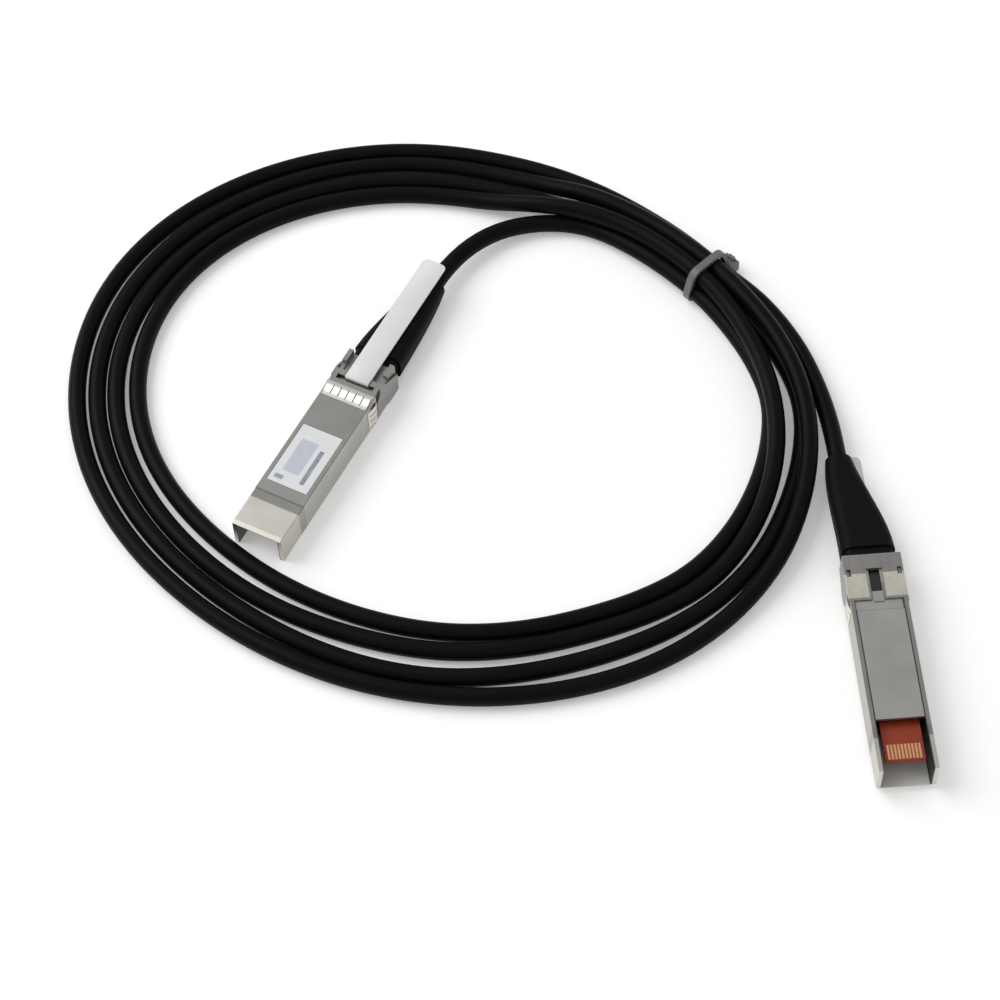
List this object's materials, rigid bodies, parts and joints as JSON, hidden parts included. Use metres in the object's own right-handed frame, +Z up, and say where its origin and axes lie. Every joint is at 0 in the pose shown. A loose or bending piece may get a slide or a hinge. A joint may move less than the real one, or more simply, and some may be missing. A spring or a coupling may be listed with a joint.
{
  "type": "direct attach copper cable",
  "caption": "Coiled direct attach copper network cable with a pluggable metal connector, latch slider and pull tab at each end, held by a cable tie.",
  "frame": {"origin": "on the resting surface, under the middle of the box round the two connectors and their boots", "axes": "+Z up, -Y the way the upside-down connector b points, +X to its right seen from behind"},
  "size_m": [0.2005, 0.2029, 0.0105],
  "materials": {
    "housing_metal": "satin nickel plating on cast zinc",
    "slider_steel": "satin",
    "spring_steel": "bright drawn wire",
    "ferrule_metal": "satin",
    "gold": "polished gold plating",
    "foil": "bright foil",
    "board": "orange-red solder mask",
    "chip": "matte",
    "ceramic": "matte",
    "label": "satin paper",
    "tab_plastic": "translucent",
    "boot_black": "matte",
    "cable_jacket": "satin",
    "tie_nylon": "satin"
  },
  "bodies": {
    "root": {"top_shell_a": "housing_metal", "bottom_shell_a": "housing_metal", "blank_label_a": "label", "circuit_card_a": "board", "card_contacts_a": "gold", "eeprom_chip_a": "chip", "coupling_capacitors_a": "ceramic", "twinax_wires_a": "foil", "crimp_ferrule_a": "ferrule_metal", "return_springs_a": "spring_steel", "strain_relief_boot_a": "boot_black", "top_shell_b": "housing_metal", "bottom_shell_b": "housing_metal", "blank_label_b": "label", "circuit_card_b": "board", "card_contacts_b": "gold", "eeprom_chip_b": "chip", "coupling_capacitors_b": "ceramic", "twinax_wires_b": "foil", "crimp_ferrule_b": "ferrule_metal", "return_springs_b": "spring_steel", "strain_relief_boot_b": "boot_black", "cable_tail_a": "cable_jacket", "cable_tail_b": "cable_jacket", "cable_coil": "cable_jacket", "cable_tie": "tie_nylon"},
    "release_a": {"release_slider_a": "slider_steel", "pull_tab_a": "tab_plastic"},
    "release_b": {"release_slider_b": "slider_steel", "pull_tab_b": "tab_plastic"}
  },
  "joints": [
    {"name": "release_a_slide", "type": "slide", "parent": "root", "child": "release_a", "axis": [0.515, 0.8572, 0], "range_m": [0, 0.0022], "stiffness_N_per_m": 600, "springref_m": -0.001, "deforming": ["return_springs_a"]},
    {"name": "release_b_slide", "type": "slide", "parent": "root", "child": "release_b", "axis": [0, 1, 0], "range_m": [0, 0.0022], "stiffness_N_per_m": 600, "springref_m": -0.001, "deforming": ["return_springs_b"]}
  ]
}
